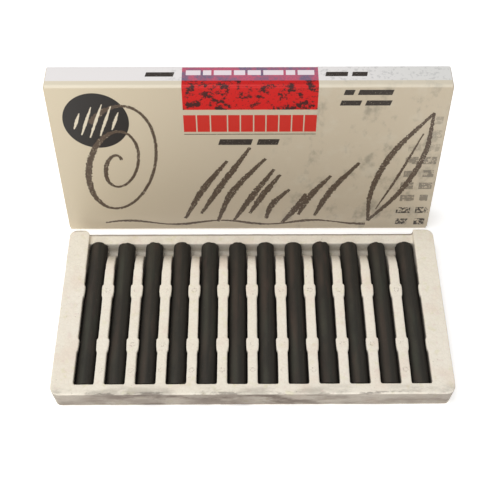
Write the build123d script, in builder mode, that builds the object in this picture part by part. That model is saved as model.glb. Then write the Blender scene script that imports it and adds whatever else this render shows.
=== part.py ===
"""Boxed set of compressed charcoal sticks.

A moulded foam tray holds a row of round sticks in open slots.  The carton that the
tray slides into stands on its long edge behind it.  X runs along the row, +Y goes
from the front rim towards the carton, +Z is up, and the origin is at the middle of
the tray's underside.  Millimetres.
"""
from build123d import *
from math import atan, cos, degrees, radians, sin
import os

os.makedirs("parts", exist_ok=True)

# ---- sticks ----------------------------------------------------------------
stick_count = 12
stick_d = 8.0
stick_length = 75.0
stick_pitch = 12.5
stick_edge = 0.35            # worn edge at both ends
stick_front_y = -38.2        # front end of every stick
stick_gap = 0.1              # air under a stick, so that it is free to lift

# ---- tray ------------------------------------------------------------------
tray_length = 164.5          # along X, across the top
tray_width = 87.0            # along Y, across the top
tray_height = 11.0
tray_draft = 1.3             # how far each outer side leans in towards the bottom
tray_corner_r = 2.5
tray_foot_r = 0.8
slot_width = 8.6
slot_floor = 2.5
slot_front_y = -38.5
slot_rear_y = 37.0
rear_rim_drop = 2.6          # the rear rim is lower than the end walls
left_wall_r = 3.0            # inner rear corner of the left end wall
grip_gap = 8.14              # between the two pads that grip a stick
grip_pad_y = (-19.25, 9.0)
grip_pad_rear = 3.4          # from a pad's middle to its steep rear shoulder
grip_pad_front = 3.5         # and to the end of its long front slope
grip_pad_shoulder = 0.6
scoop_start_y = 20.0         # the rib tops fall away from here towards the rear rim
scoop_end_y = 34.5
scoop_floor = 3.0

# ---- carton ----------------------------------------------------------------
board = 0.5
carton_length = 166.4
carton_height = 89.0
carton_depth = 12.5
carton_front_y = 52.8
carton_x = -1.3
crease_r = 1.2
turn_gap = 0.05              # between two pieces of board at their crease
slide_gap = 0.1              # between two pieces of board that lie face to face
tongue_length = 9.0
tongue_taper = 3.0           # how much narrower the tongue's free edge is at each side
dust_flap_length = 22.0
dust_flap_taper = 1.5

# ---- worked out from the sizes above ---------------------------------------
slot_r = slot_width / 2
slot_axis_z = slot_floor + slot_r
slot_centres = [stick_pitch * (i - (stick_count - 1) / 2) for i in range(stick_count)]
row_half = slot_centres[-1] + slot_r                    # middle of the row to an end wall
rib_width = stick_pitch - slot_width
rib_centres = [x + stick_pitch / 2 for x in [slot_centres[0] - stick_pitch] + slot_centres]

# A pad is centred on a rib and stands out of both its sides.
pad_half = rib_width / 2 + (slot_width - grip_gap) / 2
pad_right_side = [
    (rib_width / 2, grip_pad_rear),
    (pad_half, grip_pad_rear - grip_pad_shoulder),
    (pad_half, 0),
    (rib_width / 2, -grip_pad_front),
]
pad_outline = pad_right_side + [(-x, y) for x, y in reversed(pad_right_side)]
pad_foot_z = slot_axis_z - slot_r / 2

# The scoop's curve is one arc, level where it starts.
scoop_drop = tray_height - scoop_floor
scoop_run = scoop_end_y - scoop_start_y
scoop_r = (scoop_run**2 + scoop_drop**2) / (2 * scoop_drop)
scoop_mid = radians(30)
scoop_mid_point = (
    scoop_start_y + scoop_r * sin(scoop_mid),
    tray_height - scoop_r * (1 - cos(scoop_mid)),
)


# ---- tray: one piece of moulded foam ----------------------------------------
with BuildPart() as tray:
    with BuildSketch():
        RectangleRounded(tray_length - 2 * tray_draft, tray_width - 2 * tray_draft, tray_corner_r)
    extrude(amount=tray_height, taper=-degrees(atan(tray_draft / tray_height)))
    fillet(tray.faces().sort_by(Axis.Z)[0].edges(), tray_foot_r)
    # the rear rim, lower than the walls at its two ends
    with BuildSketch(Plane.XY.offset(tray_height - rear_rim_drop)):
        with Locations((0, slot_rear_y)):
            Rectangle(2 * row_half, tray_width, align=(Align.CENTER, Align.MIN))
        with Locations((-row_half - left_wall_r, tray_width / 2 - left_wall_r)):
            Rectangle(left_wall_r, tray_width, align=(Align.MIN, Align.MIN))
            Circle(left_wall_r, mode=Mode.SUBTRACT)
    extrude(amount=2 * rear_rim_drop, mode=Mode.SUBTRACT)
    # open slots with round bottoms
    with BuildSketch(Plane.XZ.offset(-slot_rear_y)):
        with Locations([(x, slot_axis_z) for x in slot_centres]):
            Circle(slot_r)
            Rectangle(slot_width, tray_height, align=(Align.CENTER, Align.MIN))
    extrude(amount=slot_rear_y - slot_front_y, mode=Mode.SUBTRACT)
    # grip pads
    with BuildSketch(Plane.XY.offset(pad_foot_z)):
        with Locations([(x, y) for x in rib_centres for y in grip_pad_y]):
            Polygon(*pad_outline, align=None)
    extrude(amount=tray_height - pad_foot_z)
    # finger scoop across the rear ends of the ribs
    with BuildSketch(Plane.YZ.offset(-row_half)):
        with BuildLine():
            curve = ThreePointArc(
                (scoop_start_y, tray_height), scoop_mid_point, (scoop_end_y, scoop_floor)
            )
            Polyline(
                curve @ 1,
                (slot_rear_y, scoop_floor),
                (slot_rear_y, tray_height + rear_rim_drop),
                (scoop_start_y, tray_height + rear_rim_drop),
                curve @ 0,
            )
        make_face()
    extrude(amount=2 * row_half, mode=Mode.SUBTRACT)

tray.part.label = "tray"
export_step(tray.part, "parts/tray.step")


# ---- sticks: one solid each --------------------------------------------------
for number, stick_x in enumerate(slot_centres, start=1):
    with BuildPart() as stick:
        start = Plane(
            origin=(stick_x, stick_front_y, slot_floor + stick_gap + stick_d / 2),
            x_dir=(1, 0, 0),
            z_dir=(0, 1, 0),
        )
        with BuildSketch(start):
            Circle(stick_d / 2)
        extrude(amount=stick_length)
        chamfer(stick.edges().filter_by(GeomType.CIRCLE), stick_edge)
    stick.part.label = f"charcoal_stick_{number:02d}"
    export_step(stick.part, f"parts/{stick.part.label}.step")


# ---- carton: a glued sleeve with a closure at each end -----------------------
sleeve_length = carton_length - 2 * (board + turn_gap)
carton_mid_y = carton_front_y + carton_depth / 2
carton_rear_y = carton_front_y + carton_depth

with BuildPart() as carton_sleeve:
    with BuildSketch(Plane.YZ.offset(carton_x - sleeve_length / 2)):
        with Locations((carton_mid_y, carton_height / 2)):
            RectangleRounded(carton_depth, carton_height, crease_r)
            RectangleRounded(
                carton_depth - 2 * board,
                carton_height - 2 * board,
                crease_r - board,
                mode=Mode.SUBTRACT,
            )
    extrude(amount=sleeve_length)

carton_sleeve.part.label = "carton_sleeve"
export_step(carton_sleeve.part, "parts/carton_sleeve.step")

tongue_outer_y = carton_front_y + board + slide_gap
tongue_inner_y = tongue_outer_y + board
tongue_half_height = carton_height / 2 - board - dust_flap_length - 2 * slide_gap
flap_front_y = tongue_inner_y + 2 * slide_gap
flap_rear_y = carton_rear_y - board - 2 * slide_gap

for side, outward in (("left", -1), ("right", 1)):
    sleeve_end_x = carton_x + outward * sleeve_length / 2
    panel_inner_x = sleeve_end_x + outward * turn_gap

    # the closure covers the end, and turns on the carton's rear edge
    with BuildPart() as closure:
        with BuildSketch(Plane.XZ.offset(-tongue_outer_y)):
            with Locations((panel_inner_x + outward * board / 2, carton_height / 2)):
                Rectangle(board, carton_height - 2 * crease_r)
        extrude(amount=-(carton_rear_y - tongue_outer_y))
    closure.part.label = f"carton_closure_{side}"
    export_step(closure.part, f"parts/{closure.part.label}.step")

    # the tongue tucks in behind the front panel
    tongue_root_x = panel_inner_x - outward * turn_gap
    with BuildPart() as tongue:
        with BuildSketch(Plane.XZ.offset(-tongue_outer_y)):
            with BuildLine():
                Polyline(
                    (tongue_root_x, carton_height / 2 - tongue_half_height),
                    (tongue_root_x, carton_height / 2 + tongue_half_height),
                    (
                        tongue_root_x - outward * tongue_length,
                        carton_height / 2 + tongue_half_height - tongue_taper,
                    ),
                    (
                        tongue_root_x - outward * tongue_length,
                        carton_height / 2 - tongue_half_height + tongue_taper,
                    ),
                    close=True,
                )
            make_face()
        extrude(amount=-board)
    tongue.part.label = f"carton_tongue_{side}"
    export_step(tongue.part, f"parts/{tongue.part.label}.step")

    # dust flaps close the end from above and below, under the closure
    for level, root_z, into in (
        ("lower", board + turn_gap, 1),
        ("upper", carton_height - board - turn_gap, -1),
    ):
        with BuildPart() as dust_flap:
            with BuildSketch(Plane.YZ.offset(sleeve_end_x)):
                with BuildLine():
                    Polyline(
                        (flap_front_y, root_z),
                        (flap_rear_y, root_z),
                        (flap_rear_y, root_z + into * (dust_flap_length - dust_flap_taper)),
                        (flap_rear_y - dust_flap_taper, root_z + into * dust_flap_length),
                        (flap_front_y + dust_flap_taper, root_z + into * dust_flap_length),
                        (flap_front_y, root_z + into * (dust_flap_length - dust_flap_taper)),
                        close=True,
                    )
                make_face()
            extrude(amount=-outward * board)
        dust_flap.part.label = f"carton_dust_flap_{level}_{side}"
        export_step(dust_flap.part, f"parts/{dust_flap.part.label}.step")
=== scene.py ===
"""Looks of a boxed set of charcoal sticks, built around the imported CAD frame.

Everything is in metres in the row frame, with MM for sizes thought of in millimetres.
The tray and the sticks get finer meshes that stand for their CAD nodes.  The carton
keeps its CAD panels, and its printed artwork is made of thin layers of ink on them.
"""
import math
import random

import bmesh
import bpy
import numpy as np
from mathutils import Euler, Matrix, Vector, noise


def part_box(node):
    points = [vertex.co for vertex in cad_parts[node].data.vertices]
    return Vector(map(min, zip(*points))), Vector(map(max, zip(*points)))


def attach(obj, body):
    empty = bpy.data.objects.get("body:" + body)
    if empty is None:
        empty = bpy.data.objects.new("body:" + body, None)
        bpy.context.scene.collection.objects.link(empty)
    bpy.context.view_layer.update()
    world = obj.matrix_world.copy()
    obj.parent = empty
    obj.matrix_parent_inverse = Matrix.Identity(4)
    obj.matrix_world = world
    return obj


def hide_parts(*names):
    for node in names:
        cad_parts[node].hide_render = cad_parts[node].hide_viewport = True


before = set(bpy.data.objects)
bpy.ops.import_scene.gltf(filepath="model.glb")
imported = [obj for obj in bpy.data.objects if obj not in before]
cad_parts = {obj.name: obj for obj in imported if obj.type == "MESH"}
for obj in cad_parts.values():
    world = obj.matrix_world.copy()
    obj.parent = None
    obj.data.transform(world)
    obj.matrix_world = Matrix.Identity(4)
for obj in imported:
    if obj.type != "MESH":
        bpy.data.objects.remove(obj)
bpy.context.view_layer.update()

MM = 0.001
SEED = 7

TRAY_LOW, TRAY_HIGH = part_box("tray")
FRONT_Y, REAR_Y, RIM_Z = TRAY_LOW.y / MM, TRAY_HIGH.y / MM, TRAY_HIGH.z / MM    # of the tray, mm
CARTON_LOW, CARTON_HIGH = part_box("carton_sleeve")
STICKS = sorted(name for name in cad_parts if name.startswith("charcoal_stick_"))
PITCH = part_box(STICKS[1])[0].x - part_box(STICKS[0])[0].x
SLOT_HALF = 4.3 * MM
ROW_HALF = (len(STICKS) - 1) / 2 * PITCH + SLOT_HALF     # to the end walls of the tray
PAD_Y = (-19.25, 9.0)                                    # middles of the grip pads, mm
PAD_LEAN = 0.34                                          # mm that soft pads lean over the sticks
RIB_LEAN = 0.14                                          # and the rest of the ribs
VENT_Y = (*PAD_Y, -32.0)                                 # rows of vent marks from the mould, mm
BORDER_Y = CARTON_LOW.y / MM + 3.3                       # where the face's print ends on the top
LEVEL_LIGHT = 0.42                                       # of the sky, and of the floor's own glow
CARTON_MID_X = (CARTON_LOW.x + CARTON_HIGH.x) / 2


# ---- camera, light and floor -----------------------------------------------
def camera():
    """Looks down at the set from in front, as over a table."""
    data = bpy.data.cameras.new("camera")
    data.lens = 77.5
    data.sensor_width = 36.0
    data.clip_start = 0.01
    eye = bpy.data.objects.new("camera", data)
    eye.location = (-3.2 * MM, -273.4 * MM, 382.5 * MM)
    down, yaw, roll = math.radians(50.64), math.radians(-0.46), math.radians(0.17)
    turn = Euler((math.pi / 2 - down, 0, yaw)).to_matrix() @ Euler((0, 0, roll)).to_matrix()
    eye.rotation_euler = turn.to_euler()
    bpy.context.scene.collection.objects.link(eye)
    bpy.context.scene.camera = eye


def soft_light(name, place, target, size, power):
    data = bpy.data.lights.new(name, "AREA")
    data.shape = "RECTANGLE"
    data.size, data.size_y = size
    data.energy = power
    lamp = bpy.data.objects.new(name, data)
    lamp.location = place
    lamp.rotation_euler = (Vector(target) - Vector(place)).to_track_quat("-Z", "Y").to_euler()
    bpy.context.scene.collection.objects.link(lamp)


def studio():
    world = bpy.data.worlds.new("studio")
    world.use_nodes = True
    world.node_tree.nodes["Background"].inputs["Color"].default_value = (1, 1, 1, 1)
    world.node_tree.nodes["Background"].inputs["Strength"].default_value = LEVEL_LIGHT
    bpy.context.scene.world = world
    bpy.context.scene.view_settings.view_transform = "Standard"
    soft_light("overhead", (-0.25, -0.05, 0.9), (0, 0.02, 0), (0.7, 0.6), 4.1)
    soft_light("front", (-0.3, -0.9, 0.35), (0, 0.05, 0.04), (0.6, 0.4), 2.4)
    bpy.ops.mesh.primitive_plane_add(size=60.0)
    floor = bpy.context.object
    floor.name = "floor"
    paper = Surface("floor_paper")
    paper.finish(colour=srgb(255, 255, 255), roughness=0.9)
    paper.shader.inputs["Emission Color"].default_value = (1, 1, 1, 1)
    paper.shader.inputs["Emission Strength"].default_value = LEVEL_LIGHT
    floor.data.materials.append(paper.material)


# ---- node materials ---------------------------------------------------------
def linear(value):
    """One sRGB channel, 0 to 1, as linear light."""
    return value / 12.92 if value <= 0.04045 else ((value + 0.055) / 1.055) ** 2.4


def srgb(red, green, blue):
    return tuple(linear(v / 255) for v in (red, green, blue)) + (1.0,)


class Surface:
    """A material built from nodes whose coordinates are millimetres in the row frame."""

    def __init__(self, name):
        self.material = bpy.data.materials.new(name)
        self.material.use_nodes = True
        self.tree = self.material.node_tree
        self.shader = self.tree.nodes["Principled BSDF"]
        coordinates = self.tree.nodes.new("ShaderNodeTexCoord")
        self.place = self.vector("MULTIPLY", coordinates.outputs["Object"], (1000, 1000, 1000))
        parts = self.tree.nodes.new("ShaderNodeSeparateXYZ")
        self.tree.links.new(self.place, parts.inputs[0])
        self.x, self.y, self.z = parts.outputs

    def put(self, socket, value):
        if isinstance(value, bpy.types.NodeSocket):
            self.tree.links.new(value, socket)
        else:
            socket.default_value = value

    def vector(self, operation, a, b):
        node = self.tree.nodes.new("ShaderNodeVectorMath")
        node.operation = operation
        self.put(node.inputs[0], a)
        self.put(node.inputs[1], b)
        return node.outputs[0]

    def math(self, operation, a, b=0.0, c=0.0):
        node = self.tree.nodes.new("ShaderNodeMath")
        node.operation = operation
        for socket, value in zip(node.inputs, (a, b, c)):
            self.put(socket, value)
        return node.outputs[0]

    def step(self, value, start, end):
        """Rises smoothly from 0 at start to 1 at end."""
        node = self.tree.nodes.new("ShaderNodeMapRange")
        node.interpolation_type = "SMOOTHSTEP"
        low, high = min(start, end), max(start, end)
        rising = start < end
        at_low, at_high = (0.0, 1.0) if rising else (1.0, 0.0)
        for socket, number in zip(node.inputs, (value, low, high, at_low, at_high)):
            self.put(socket, number)
        return node.outputs[0]

    def from_nearest(self, pitch, first):
        """Distance along X from the nearest of a row of lines, in millimetres, signed."""
        turns = self.math("DIVIDE", self.math("SUBTRACT", self.x, first), pitch)
        share = self.math("SUBTRACT", turns, self.math("ROUND", turns))
        return self.math("MULTIPLY", share, pitch)

    def band(self, value, middle, half, soft):
        """1 within half of middle, falling to 0 over soft beyond that."""
        off = self.math("ABSOLUTE", self.math("SUBTRACT", value, middle))
        return self.step(off, half + soft, half)

    def both(self, *masks):
        result = masks[0]
        for mask in masks[1:]:
            result = self.math("MULTIPLY", result, mask)
        return result

    def noise(self, size, detail=3.0, stretch=(1, 1, 1), shift=0.0, roughness=0.5):
        """Cloudy noise, 0 to 1, whose blotches are about size millimetres across."""
        node = self.tree.nodes.new("ShaderNodeTexNoise")
        scaled = self.vector("MULTIPLY", self.place, tuple(1 / (size * s) for s in stretch))
        self.put(node.inputs["Vector"], self.vector("ADD", scaled, (shift, shift, shift)))
        node.inputs["Scale"].default_value = 1.0
        node.inputs["Detail"].default_value = detail
        node.inputs["Roughness"].default_value = roughness
        return node.outputs["Fac"]

    def cell_edges(self, size):
        """Distance to the nearest edge of irregular cells about size millimetres across."""
        node = self.tree.nodes.new("ShaderNodeTexVoronoi")
        node.feature = "DISTANCE_TO_EDGE"
        self.put(node.inputs["Vector"], self.place)
        node.inputs["Scale"].default_value = 1 / size
        return node.outputs["Distance"]

    def mix(self, factor, a, b):
        node = self.tree.nodes.new("ShaderNodeMix")
        node.data_type = "RGBA"
        self.put(node.inputs[0], factor)
        self.put(node.inputs[6], a)
        self.put(node.inputs[7], b)
        return node.outputs[2]

    def bump(self, height, distance, strength=1.0):
        """Relief whose full height is distance millimetres."""
        node = self.tree.nodes.new("ShaderNodeBump")
        node.inputs["Strength"].default_value = strength
        node.inputs["Distance"].default_value = distance * MM
        self.put(node.inputs["Height"], height)
        return node.outputs[0]

    def finish(self, colour, roughness, normal=None, specular=0.5):
        self.put(self.shader.inputs["Base Color"], colour)
        self.put(self.shader.inputs["Roughness"], roughness)
        self.shader.inputs["Specular IOR Level"].default_value = specular
        if normal is not None:
            self.put(self.shader.inputs["Normal"], normal)
        return self.material


def clean_foam(s, beads):
    """Cream beads with darker seams between them, tinted in places."""
    seams = s.step(beads, 0.12, 0.0)
    foam = s.mix(s.noise(30.0, 2.0), srgb(243, 235, 216), srgb(250, 243, 230))
    warm = s.both(s.step(s.noise(14.0, 3.0, shift=5.0), 0.52, 0.72), 0.5)
    foam = s.mix(warm, foam, srgb(240, 222, 205))
    foam = s.mix(s.math("MULTIPLY", seams, 0.09), foam, srgb(190, 176, 152))
    pink = s.step(s.noise(2.6, 3.0, shift=33.0), 0.56, 0.74)
    foam = s.mix(s.math("MULTIPLY", pink, 0.30), foam, srgb(232, 208, 200))
    yellow = s.step(s.noise(3.4, 3.0, shift=41.0), 0.56, 0.74)
    return s.mix(s.math("MULTIPLY", yellow, 0.35), foam, srgb(226, 222, 178))


def smudges(s, foam):
    """Fine specks all over, and broad rubbed smudges and two smears of charcoal at the front."""
    specks = s.step(s.noise(0.9, 2.0, shift=9.0), 0.68, 0.80)
    foam = s.mix(s.math("MULTIPLY", specks, 0.55), foam, srgb(120, 113, 100))
    wear_and_highlight = s.noise(7.0, 5.0, stretch=(2.6, 1.0, 0.9), shift=2.0, roughness=0.65)
    wear_and_highlight = s.step(wear_and_highlight, 0.44, 0.62)
    edge_band = s.step(s.y, FRONT_Y + 6.0, FRONT_Y + 0.5)
    below_rim = s.step(s.z, RIM_Z - 0.2, RIM_Z - 1.6)
    outside = s.step(s.y, FRONT_Y + 3.0, FRONT_Y + 2.0)
    handled = s.math("ADD", 0.45, s.math("MULTIPLY", s.band(s.x, -16.0, 26.0, 28.0), 0.45))
    on_top_edge = s.both(wear_and_highlight, edge_band, 0.38)
    on_front = s.both(wear_and_highlight, below_rim, outside, handled)
    foam = s.mix(s.math("MAXIMUM", on_top_edge, on_front), foam, srgb(98, 88, 78))
    ragged = s.noise(5.0, 5.0, stretch=(1.8, 1.0, 0.8), shift=91.0, roughness=0.7)
    ragged = s.step(ragged, 0.30, 0.58)
    fainter = s.math("MULTIPLY", s.band(s.x, -46.0, 5.0, 12.0), 0.6)
    smears = s.math("MAXIMUM", s.band(s.x, -14.0, 5.0, 12.0), fainter)
    return s.mix(s.both(smears, ragged, below_rim, outside, 0.60), foam, srgb(88, 76, 68))


def dark_edges(s, foam):
    """The front edge, and more faintly the rear one, is rubbed dark in stretches."""
    edge_y = s.step(s.y, FRONT_Y + 1.5, FRONT_Y + 0.5)
    edge_z = s.step(s.z, RIM_Z - 1.6, RIM_Z - 0.7)
    stretches = s.noise(4.0, 4.0, stretch=(3.0, 1, 1), shift=23.0, roughness=0.7)
    stretches = s.step(stretches, 0.50, 0.62)
    rear_edge = s.step(s.y, REAR_Y - 1.6, REAR_Y - 0.8)
    edges = s.math("MAXIMUM", s.both(edge_y, edge_z), s.math("MULTIPLY", rear_edge, 0.7))
    return s.mix(s.both(edges, stretches, 0.62), foam, srgb(88, 74, 68))


def vent_rings(s, foam):
    """Rings of small vent dots from the mould, on the pads and on the front of the ribs."""
    on_rib = s.from_nearest(PITCH / MM, 0.0)
    dots = s.step(s.noise(0.55, 1.0, shift=51.0), 0.46, 0.56)
    chosen = s.step(s.noise(9.0, 1.0, shift=61.0), 0.44, 0.52)
    inner = s.step(s.math("ABSOLUTE", s.x), ROW_HALF / MM - 2, ROW_HALF / MM - 4)
    for vent_y in VENT_Y:
        off = s.math("SUBTRACT", s.y, vent_y)
        squares = s.math("ADD", s.math("MULTIPLY", on_rib, on_rib), s.math("MULTIPLY", off, off))
        ring = s.band(s.math("SQRT", squares), 0.95, 0.15, 0.35)
        foam = s.mix(s.both(ring, dots, chosen, inner, 0.32), foam, srgb(120, 98, 84))
    return foam


def painted_shade_on_sides(s, foam):
    """Painted shade: the outer sides, below the rim, are greyer than the top, in uneven patches."""
    beyond_x = s.math("SUBTRACT", s.math("ABSOLUTE", s.x), TRAY_HIGH.x / MM)
    beyond_y = s.math("SUBTRACT", s.math("ABSOLUTE", s.y), REAR_Y)
    beyond = s.math("MAXIMUM", beyond_x, beyond_y)
    sides = s.both(s.step(beyond, -2.0, -1.2), s.step(s.z, RIM_Z - 0.3, RIM_Z - 1.3))
    uneven = s.math("ADD", 0.50, s.math("MULTIPLY", s.noise(20.0, 3.0, shift=7.0), 0.36))
    return s.mix(s.both(sides, uneven), foam, srgb(112, 98, 88))


def slot_dust_and_shade(s, foam, grain):
    """Dust that lies in the slots, thinner on the scooped end of the ribs, with painted shade: the
    deeper, the darker.
    """
    across = s.step(s.math("ABSOLUTE", s.x), ROW_HALF / MM + 0.3, ROW_HALF / MM - 0.1)
    along = s.both(s.step(s.y, -39.0, -38.3), s.step(s.y, 37.6, 36.9))
    depth = s.math("ADD", s.z, s.math("MULTIPLY", grain, 1.6))
    deep = s.step(depth, RIM_Z + 0.6, RIM_Z - 2.2)
    scooped = s.step(s.y, 19.0, 30.0)
    amount = s.math("SUBTRACT", 0.86, s.math("MULTIPLY", scooped, 0.50))
    # painted shade mixed with dust: darker with depth in the slots, browner in the scooped channel at
    # the rear
    dust_and_shade = s.both(across, along, deep, amount)
    beside_sticks = s.step(s.y, 27.0, 20.0)
    return s.mix(dust_and_shade, foam, s.mix(beside_sticks, srgb(92, 78, 70), srgb(58, 51, 44)))


def foam_material():
    """Beaded white foam. Dust of charcoal and painted shade grey its slots, smudges grey its rims, and
    painted shade greys its outer sides.
    """
    s = Surface("moulded_foam")
    beads = s.cell_edges(1.9)
    grain = s.noise(0.5, 2.0)
    foam = clean_foam(s, beads)
    # smudges, dark edges and vent rings are soiling; the last step paints shade on the outer sides
    for soil_or_shade in (smudges, dark_edges, vent_rings, painted_shade_on_sides):
        foam = soil_or_shade(s, foam)
    foam = slot_dust_and_shade(s, foam, grain)
    height = s.math("ADD", s.step(beads, 0.0, 0.35), s.math("MULTIPLY", grain, 0.5))
    return s.finish(foam, 0.78, s.bump(height, 0.10, 0.5), 0.3)


def charcoal_material():
    """Pressed charcoal: near black, dry, with faint lengthwise rubbing, a painted highlight down each
    stick left of its middle, and painted shade on its flanks.
    """
    s = Surface("pressed_charcoal")
    streaks = s.noise(1.0, 4.0, stretch=(0.9, 22.0, 0.9))
    grain = s.noise(0.35, 3.0)
    black = s.mix(streaks, srgb(32, 30, 26), srgb(54, 51, 44))
    brown = s.step(s.noise(3.0, 2.0, stretch=(1, 5, 1), shift=4.0), 0.55, 0.75)
    black = s.mix(s.math("MULTIPLY", brown, 0.5), black, srgb(68, 53, 46))
    green = s.step(s.noise(3.5, 2.0, stretch=(1, 6, 1), shift=11.0), 0.55, 0.75)
    black = s.mix(s.math("MULTIPLY", green, 0.4), black, srgb(50, 56, 46))
    across = s.from_nearest(PITCH / MM, PITCH / MM / 2)
    uneven = s.step(s.noise(6.0, 3.0, stretch=(1, 3, 1), shift=71.0), 0.25, 0.65)
    # painted highlight: a lighter band down each stick, left of its middle, in two tints
    wear_and_highlight = s.both(s.band(across, -1.1, 0.3, 1.7), uneven)
    hue = s.step(s.noise(14.0, 1.0, stretch=(1, 3, 1), shift=81.0), 0.40, 0.60)
    sheen = s.mix(hue, srgb(88, 70, 58), srgb(80, 80, 66))
    black = s.mix(s.math("MULTIPLY", wear_and_highlight, 0.32), black, sheen)
    # painted shade: each stick darker towards its sides
    shaded_flank = s.step(s.math("ABSOLUTE", across), 2.2, 3.8)
    black = s.mix(s.math("MULTIPLY", shaded_flank, 0.6), black, srgb(24, 20, 18))
    dusty = s.step(s.noise(0.7, 3.0, shift=21.0), 0.62, 0.78)
    black = s.mix(s.math("MULTIPLY", dusty, 0.35), black, srgb(88, 84, 76))
    height = s.math("ADD", s.math("MULTIPLY", grain, 0.6), s.math("MULTIPLY", streaks, 0.6))
    return s.finish(black, 0.66, s.bump(height, 0.10, 0.8), 0.35)


def on_top(s):
    """1 on the carton's top, whose print starts a little behind the crease."""
    high = s.step(s.z, CARTON_HIGH.z / MM - 0.7, CARTON_HIGH.z / MM - 0.15)
    return s.both(high, s.step(s.y, BORDER_Y - 0.2, BORDER_Y + 0.2))


def front_gradient(s):
    """The carton's printed background: cream at the left to taupe, with a cool white top and a painted
    highlight on the face just under the top crease.
    """
    from_left = s.math("SUBTRACT", s.x, CARTON_LOW.x / MM)
    across = s.math("MINIMUM", s.math("DIVIDE", from_left, 80.0), 1.0)
    down = s.math("SUBTRACT", 1.0, s.math("DIVIDE", s.z, CARTON_HIGH.z / MM))
    amount = s.math("ADD", s.math("MULTIPLY", across, 0.75), s.math("MULTIPLY", down, 0.25))
    amount = s.step(amount, -0.25, 1.0)
    face = s.mix(amount, srgb(217, 203, 175), srgb(196, 182, 159))
    right = s.step(s.x, -8.0, 30.0)
    clouds = s.step(s.noise(7.0, 5.0, stretch=(1, 1, 1.5), shift=3.0, roughness=0.62), 0.50, 0.72)
    face = s.mix(s.both(right, clouds, 0.58), face, srgb(128, 122, 108))
    pale = s.step(s.noise(9.0, 4.0, shift=17.0, roughness=0.6), 0.50, 0.70)
    face = s.mix(s.both(right, pale, 0.35), face, srgb(205, 197, 178))
    greyer = s.both(s.step(s.x, 20.0, 75.0), 0.6)
    top = s.mix(greyer, srgb(240, 236, 235), srgb(221, 222, 217))
    speckled = s.step(s.noise(1.6, 4.0, shift=8.0), 0.52, 0.66)
    flecks = s.both(s.step(s.x, -50.0, -20.0), speckled, 0.35)
    top = s.mix(flecks, top, srgb(168, 168, 168))
    # painted highlight: a lighter strip across the face just under the top crease
    crease = s.step(s.z, CARTON_HIGH.z / MM - 1.3, CARTON_HIGH.z / MM - 0.5)
    face = s.mix(s.math("MULTIPLY", crease, 0.38), face, srgb(252, 246, 228))
    return s.mix(on_top(s), face, top)


def printed_board_material():
    s = Surface("printed_board")
    fibre = s.noise(0.6, 3.0)
    scuff = s.step(s.noise(2.0, 4.0, shift=31.0, roughness=0.7), 0.66, 0.80)
    colour = s.mix(s.math("MULTIPLY", scuff, 0.18), front_gradient(s), srgb(235, 228, 214))
    return s.finish(colour, 0.42, s.bump(fibre, 0.02, 0.5), 0.4)


def plain_board_material():
    s = Surface("plain_board")
    fibre = s.noise(0.4, 4.0, stretch=(1, 1, 4))
    colour = s.mix(fibre, srgb(214, 206, 192), srgb(232, 226, 214))
    return s.finish(colour, 0.8, s.bump(fibre, 0.04, 0.6), 0.3)


def ink_material(name, ink, cover=1.0, grain_size=0.5, low=0.40, high=0.52):
    """Ink over the printed board. Where its grain is open, the board's own colour shows."""
    s = Surface(name)
    board = front_gradient(s)
    grain = s.noise(grain_size, 4.0, shift=13.0, roughness=0.65)
    solid = s.math("MULTIPLY", s.step(grain, low, high), cover)
    return s.finish(s.mix(solid, board, ink), 0.42, None, 0.4)


def red_block_material():
    """Red print with black charcoal blotches, pinker and mottled where it runs over the spine."""
    s = Surface("red_print")
    blotch = s.step(s.noise(4.2, 5.0, shift=6.0, roughness=0.72), 0.51, 0.57)
    specks = s.step(s.noise(1.1, 3.0, shift=14.0), 0.60, 0.68)
    black = s.math("MAXIMUM", blotch, s.math("MULTIPLY", specks, 0.8))
    face = s.mix(s.math("MULTIPLY", black, 0.93), srgb(206, 10, 6), srgb(26, 14, 12))
    mottle = s.step(s.noise(0.9, 4.0, shift=2.0), 0.40, 0.64)
    patches = s.step(s.noise(7.0, 4.0, shift=3.0, roughness=0.6), 0.46, 0.62)
    pink = s.mix(s.math("MULTIPLY", mottle, 0.5), srgb(206, 92, 118), srgb(130, 100, 124))
    blue = s.mix(s.math("MULTIPLY", mottle, 0.6), srgb(116, 104, 132), srgb(170, 104, 128))
    return s.finish(s.mix(on_top(s), face, s.mix(patches, pink, blue)), 0.38, None, 0.4)


# ---- meshes -----------------------------------------------------------------
def piece(name, vertices, faces, body, material, smooth=True):
    mesh = bpy.data.meshes.new(name)
    mesh.from_pydata(vertices, [], faces)
    mesh.validate()
    obj = bpy.data.objects.new(name, mesh)
    bpy.context.scene.collection.objects.link(obj)
    if smooth:
        mesh.polygons.foreach_set("use_smooth", [True] * len(mesh.polygons))
    mesh.materials.append(material)
    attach(obj, body)
    return obj


def apply_modifiers(obj):
    graph = bpy.context.evaluated_depsgraph_get()
    mesh = bpy.data.meshes.new_from_object(obj.evaluated_get(graph))
    obj.modifiers.clear()
    obj.data = mesh


def ramp(value, start, end):
    t = ((value - start) / (end - start)).clip(0, 1)
    return t * t * (3 - 2 * t)


def grip(x, y, z):
    """How far soft foam at x, y, z leans over the sticks: a little everywhere, more at the pads."""
    pitch, slot = PITCH / MM, SLOT_HALF / MM
    near, far = (corner.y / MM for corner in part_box(STICKS[0]))
    turns = x / pitch - 0.5
    off = (turns - np.round(turns)) * pitch
    held = 1 - ramp(np.abs(off), slot, pitch / 2)
    held *= (np.abs(x) < ROW_HALF / MM + 2) * (y > near - 0.2) * (y < far - 16)
    pads = sum(ramp(y, pad - 3.6, pad - 2.4) * ramp(y, pad + 3.4, pad + 2.6) for pad in PAD_Y)
    return -np.sign(off) * held * (RIB_LEAN * ramp(z, 4.0, 6.5) + PAD_LEAN * pads * ramp(z, 7.8, 9.4))


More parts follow.
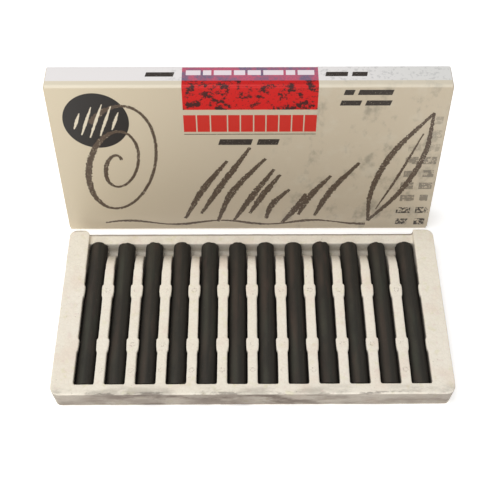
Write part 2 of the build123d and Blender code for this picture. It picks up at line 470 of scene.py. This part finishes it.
def foam_tray(material):
    """The CAD tray again, with the soft edges and uneven skin of moulded foam."""
    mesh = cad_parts["tray"].data.copy()
    mesh.materials.clear()
    work = bmesh.new()
    work.from_mesh(mesh)
    bmesh.ops.remove_doubles(work, verts=work.verts, dist=0.001 * MM)
    work.to_mesh(mesh)
    work.free()
    tray = bpy.data.objects.new("foam_tray", mesh)
    bpy.context.scene.collection.objects.link(tray)
    remesh = tray.modifiers.new("skin", "REMESH")
    remesh.mode = "VOXEL"
    remesh.voxel_size = 0.4 * MM
    soften = tray.modifiers.new("soften", "SMOOTH")
    soften.factor = 0.5
    soften.iterations = 5
    apply_modifiers(tray)
    dent_and_lean(tray.data)
    tray.data.materials.append(material)
    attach(tray, "tray")
    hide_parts("tray")


def dent_and_lean(mesh):
    """Dents the foam's skin a little, and leans its ribs over the sticks."""
    places = np.empty(len(mesh.vertices) * 3, np.float32)
    normals = np.empty(len(mesh.vertices) * 3, np.float32)
    mesh.vertices.foreach_get("co", places)
    mesh.vertices.foreach_get("normal", normals)
    places, normals = places.reshape(-1, 3), normals.reshape(-1, 3)
    dents = np.array([noise.fractal(Vector(p) / (5 * MM), 0.7, 2.0, 3) for p in places])
    places -= normals * (0.05 * MM + 0.07 * MM * dents.clip(-1, 1))[:, None]
    places[:, 0] += grip(*places.T / MM) * MM
    places[:, 2] = places[:, 2].clip(0)        # nothing under the floor
    mesh.vertices.foreach_set("co", places.ravel())
    mesh.update()
    mesh.polygons.foreach_set("use_smooth", [True] * len(mesh.polygons))


def stick_skin(radius, direction, y, to_end, seed):
    """A stick's radius in one direction: slightly uneven, and rounded and chipped near its ends."""
    spot = Vector((direction.x * 2, y / (6 * MM), direction.z * 2 + seed * 3.7))
    skin = radius - 0.04 * MM - 0.05 * MM * (1 + noise.fractal(spot, 0.8, 2.0, 3))
    bite = Vector((direction.x * 2.2, seed * 5.1 + (y > 0), direction.z * 2.2))
    chip = max(0.0, noise.noise(bite))
    depth = 0.28 * MM * (0.5 + (2.2 if y < 0 else 4.5) * chip)
    if to_end < depth:
        t = 1 - to_end / depth
        skin -= depth * 0.55 * (1 - math.sqrt(max(0.0, 1 - t * t)))
    return skin


def stick(node, seed, material):
    """One pressed stick, a tube of rings closed by a dimpled cap at each end."""
    low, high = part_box(node)
    radius = (high.x - low.x) / 2
    centre = (low + high) / 2
    chance = random.Random(seed)
    near = low.y + chance.uniform(0.0, 0.25) * MM
    far = high.y - chance.uniform(0.0, 0.6) * MM
    around, step = 56, 0.6 * MM
    count = int((far - near) / step)
    rings = [(near + (far - near) * i / count, 1.0) for i in range(count + 1)]
    caps = (0.94, 0.84, 0.62, 0.34)
    rings = [(near, c) for c in reversed(caps)] + rings + [(far, c) for c in caps]
    vertices, faces = [], []
    for y, share in rings:
        for k in range(around):
            angle = 2 * math.pi * k / around
            direction = Vector((math.cos(angle), 0, math.sin(angle)))
            skin = stick_skin(radius, direction, y, min(y - near, far - y), seed)
            inset = 0.0
            if share < 1:
                dimple = Vector((direction.x * share * 3, seed * 1.3, direction.z * share * 3))
                inset = abs(0.25 * MM * noise.noise(dimple))
            towards = 1 if y < 0 else -1
            vertices.append(
                (
                    centre.x + direction.x * skin * share,
                    y + towards * inset,
                    centre.z + direction.z * skin * share,
                )
            )
    for r in range(len(rings) - 1):
        for k in range(around):
            a, b = r * around + k, r * around + (k + 1) % around
            faces.append((a, b, b + around, a + around))
    for first, y in ((0, near), ((len(rings) - 1) * around, far)):
        hub = len(vertices)
        vertices.append((centre.x, y, centre.z))
        for k in range(around):
            a, b = first + k, first + (k + 1) % around
            faces.append((hub, b, a) if first == 0 else (hub, a, b))
    number = node.rsplit("_", 1)[1]
    obj = piece(f"pressed_stick_{number}", vertices, faces, f"stick_{number}", material)
    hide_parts(node)


# ---- printed artwork on the carton ------------------------------------------
CREASE = 1.2 * MM
FACE_TOP = CARTON_HIGH.z - CREASE
ARC = CREASE * math.pi / 2
SPINE_LENGTH = CARTON_HIGH.y - CARTON_LOW.y - 2 * CREASE
INK = 0.02 * MM
RED_LEFT, RED_WIDTH = -27.2, 55.6


def on_board(x, s, lift):
    """A point on the printed side: s runs up the face, round the crease and back over the top."""
    if s <= FACE_TOP:
        return (x, CARTON_LOW.y - lift, s)
    if s <= FACE_TOP + ARC:
        angle = (s - FACE_TOP) / CREASE
        reach = CREASE + lift
        return (x, CARTON_LOW.y + CREASE - reach * math.cos(angle), FACE_TOP + reach * math.sin(angle))
    return (x, CARTON_LOW.y + CREASE + s - FACE_TOP - ARC, CARTON_HIGH.z + lift)


class Print:
    """Thin closed layers of one ink, gathered into one piece."""

    def __init__(self):
        self.vertices, self.faces = [], []

    def strip(self, left, right, lift=INK):
        """A layer between two rows of (x, s) points in millimetres."""
        first, sunk, count = len(self.vertices), -0.1 * MM, len(left)
        for (xa, sa), (xb, sb) in zip(left, right):
            for height in (lift, sunk):
                self.vertices.append(on_board(CARTON_MID_X + xa * MM, sa * MM, height))
                self.vertices.append(on_board(CARTON_MID_X + xb * MM, sb * MM, height))
        for i in range(count - 1):
            a, b = first + 4 * i, first + 4 * (i + 1)
            self.faces += [(a, a + 1, b + 1, b), (a + 2, b + 2, b + 3, a + 3)]
            self.faces += [(a, b, b + 2, a + 2), (a + 1, a + 3, b + 3, b + 1)]
        for end in (first, first + 4 * (count - 1)):
            self.faces.append((end, end + 2, end + 3, end + 1))
        return self

    def block(self, x, s, width, height, slant=0.0, lift=INK):
        """A rectangle, or with slant a parallelogram, that follows the crease where it meets it."""
        count = 2 + int(height / 0.3) if (s + height) * MM > FACE_TOP else 2
        rows = [s + height * i / (count - 1) for i in range(count)]
        left = [(x + slant * (row - s), row) for row in rows]
        return self.strip(left, [(a + width, row) for a, row in left], lift)

    def ellipse(self, x, s, rx, rs, lift=INK):
        count = 48
        angles = [math.pi * (i / count - 0.5) for i in range(count + 1)]
        left = [(x - rx * max(math.cos(a), 0.001), s + rs * math.sin(a)) for a in angles]
        return self.strip(left, [(2 * x - a, row) for a, row in left], lift)

    def stroke(self, points, width, seed, lift=INK):
        """A hand-drawn stroke through (x, s, share of width) points, with a rough edge."""
        path = smooth_path(points)
        left, right = [], []
        for i, (x, s, share) in enumerate(path):
            ahead, behind = path[min(i + 1, len(path) - 1)], path[max(i - 1, 0)]
            dx, ds = ahead[0] - behind[0], ahead[1] - behind[1]
            length = math.hypot(dx, ds) or 1.0
            for side, row in ((1, left), (-1, right)):
                rough = noise.noise(Vector((x * 1.4, s * 1.4, seed + side * 9.0)))
                half = max(0.08, width * share / 2 * (1 + 0.55 * rough))
                row.append((x - side * ds / length * half, s + side * dx / length * half))
        rise = 0.03 * MM / len(path)      # so that a stroke never lies level with itself
        first = len(self.vertices)
        self.strip(left, right, lift)
        for i in range(len(path)):
            for k in range(2):
                x, y, z = self.vertices[first + 4 * i + k]
                self.vertices[first + 4 * i + k] = (x, y - rise * i, z)
        return self

    def make(self, name, material):
        return piece(name, self.vertices, self.faces, "carton", material, smooth=False)


def smooth_path(points, step=0.5):
    """Catmull-Rom curve through the points, as a row of closely spaced ones."""
    rows = [np.array(p, float) for p in points]
    rows = [2 * rows[0] - rows[1]] + rows + [2 * rows[-1] - rows[-2]]
    path = []
    for a, b, c, d in zip(rows, rows[1:], rows[2:], rows[3:]):
        count = max(2, int(np.linalg.norm(c[:2] - b[:2]) / step))
        for i in range(count):
            t = i / count
            square, cube = 2 * a - 5 * b + 4 * c - d, 3 * b - a - 3 * c + d
            path.append(0.5 * (2 * b + (c - a) * t + square * t**2 + cube * t**3))
    path.append(rows[-2])
    return path


def red_block():
    top = (FACE_TOP + ARC + SPINE_LENGTH) / MM
    bottom = 76.0
    block = Print().block(RED_LEFT, bottom, RED_WIDTH, top - bottom)
    block.make("print_red_block", red_block_material())


def word_bars():
    """Plain bars where the carton has its printed words."""
    red = Print()
    x = RED_LEFT
    for width in (5.2, 5.2, 6.6, 4.8, 5.0, 4.6, 4.8, 4.8, 4.6, 5.0):
        red.block(x, 63.4, width, 9.6)
        x += width + 0.55
    red.make("print_red_bars", ink_material("red_ink", srgb(200, 38, 26), low=0.1, high=0.3))
    dark = Print()
    dark.block(RED_LEFT, 61.8, RED_WIDTH, 0.35)
    for left, base, width, height in (
        (-13.0, 55.6, 14.0, 3.4),
        (3.4, 55.6, 9.0, 3.4),
        (38.6, 84.0, 4.0, 2.8),
        (44.4, 84.0, 14.0, 2.8),
        (37.4, 78.2, 8.4, 2.8),
        (47.8, 78.2, 10.4, 2.8),
    ):
        dark.block(left, base, width, height, slant=0.25)
    spine = (FACE_TOP + ARC) / MM
    dark.block(-42.3, spine + 4.6, 11.5, 2.6, slant=0.2)
    dark.block(31.2, spine + 4.6, 9.0, 2.6, slant=0.2)
    dark.block(42.0, spine + 4.6, 6.2, 2.6, slant=0.2)
    dark.make("print_dark_bars", ink_material("dark_ink", srgb(52, 44, 38), low=0.25, high=0.40))
    pale = Print()
    x = -25.6
    for width in (6.0, 3.4, 7.2, 4.6, 5.4, 8.2, 3.8, 6.8):
        pale.block(x, spine + 5.4, width, 2.9, lift=2 * INK)
        x += width + 1.0
    white = ink_material("white_ink", srgb(240, 226, 232), cover=0.92, low=0.1, high=0.2)
    pale.make("print_pale_bars", white)


def disc_mark():
    """A round black mark with a few hatched strokes in it."""
    centre_x, centre_s = -63.7, 69.7
    black = ink_material("black_ink", srgb(38, 33, 30), low=0.1, high=0.2)
    Print().ellipse(centre_x, centre_s, 13.8, 15.6).make("print_disc", black)
    hatch = Print()
    for i, reach in enumerate((4.5, 8.0, 9.5, 8.5, 5.0)):
        x, lean = centre_x + (i - 2) * 4.0, reach * 0.35
        foot = (x - lean, centre_s - reach, 0.4)
        tip = (x + lean, centre_s + reach, 0.3)
        hatch.stroke([foot, (x, centre_s, 1.0), tip], 1.3, i, 2 * INK)
    pale = ink_material("pale_ink", srgb(222, 210, 186), low=0.1, high=0.2)
    hatch.make("print_disc_hatching", pale)


def flourish():
    """Loose charcoal marks all over the front: a curl, hatching, a leaf and a ground line."""
    ink = Print()
    curl = []
    for i in range(40):
        turn, grown = 0.9 + i * 0.36, 0.12 + 0.88 * i / 39
        up = 37 * grown * math.sin(turn)
        pressure = 0.55 + 0.95 * max(0.0, -math.cos(turn)) * grown
        curl.append((-57 + 19 * grown * math.cos(turn) + 0.16 * up, 43 + up, pressure))
    ink.stroke(curl, 2.4, 1)
    for i in range(9):
        foot, reach = 8 + 3.5 * math.sin(1.9 * i), 31 + 12 * math.sin(0.75 * i + 0.6)
        x = -29 + 7.4 * i
        middle = (x + 0.22 * reach + 1.8 * math.sin(2.3 * i), foot + 0.5 * reach, 1.35)
        ink.stroke([(x, foot, 0.6), middle, (x + 0.52 * reach, foot + reach, 0.6)], 2.3, 10 + i)
    ink.stroke([(55, 6, 0.7), (55, 26, 1.2), (62, 50, 1.5), (77, 74, 0.6)], 1.9, 30)
    ink.stroke([(55, 6, 0.7), (68, 26, 1.3), (76, 50, 1.2), (77, 74, 0.6)], 1.9, 31)
    ink.stroke([(58, 14, 0.4), (66, 36, 0.9), (74, 62, 0.4)], 1.4, 32)
    ground = []
    for i in range(17):
        pressure = 0.5 + 0.5 * math.sin(0.9 * i) ** 2
        ground.append((-66 + 7.5 * i, 5.2 + 1.4 * math.sin(1.1 * i), pressure))
    ink.stroke(ground, 1.5, 40)
    grained = ink_material("charcoal_ink", srgb(88, 72, 58), grain_size=0.7, low=0.30, high=0.42)
    ink.make("print_charcoal_marks", grained)


def edge_bars():
    """Two columns of rough bars down the right side: patchy at the bottom, fainter towards the top."""
    chance = random.Random(SEED)
    inks = (
        ("print_edge_marks", 0, 2, srgb(58, 50, 42), 1.0, (0.42, 0.54)),
        ("print_edge_bars", 2, 6, srgb(112, 103, 90), 0.80, (0.34, 0.52)),
        ("print_faint_bars", 6, 9, srgb(136, 127, 112), 0.55, (0.38, 0.60)),
    )
    for name, bottom, top, ink, cover, (low, high) in inks:
        bars = Print()
        for row in range(bottom, top):
            base = 3.4 + 8.0 * row
            for left, right in ((68.0, 74.6), (76.2, 82.2)):
                if row >= 7 and left < 75:
                    continue
                start = left + chance.uniform(-0.6, 1.0)
                end = right + chance.uniform(-1.4, 0.2)
                shift, taller = chance.uniform(-0.2, 0.2), chance.uniform(-0.5, 0.3)
                bars.block(start, base + shift, end - start, 4.4 + taller)
        bars.make(name, ink_material(name + "_ink", ink, cover, 1.3, low, high))


# ---- put it together ----------------------------------------------------------
def carton():
    printed, plain = printed_board_material(), plain_board_material()
    for name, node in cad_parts.items():
        if name.startswith("carton_"):
            outside = name.startswith(("carton_sleeve", "carton_closure"))
            node.data.materials.clear()
            node.data.materials.append(printed if outside else plain)
    red_block()
    word_bars()
    disc_mark()
    edge_bars()
    flourish()


camera()
studio()
foam_tray(foam_material())
charcoal = charcoal_material()
for order, stick_name in enumerate(STICKS):
    stick(stick_name, SEED + order, charcoal)
carton()
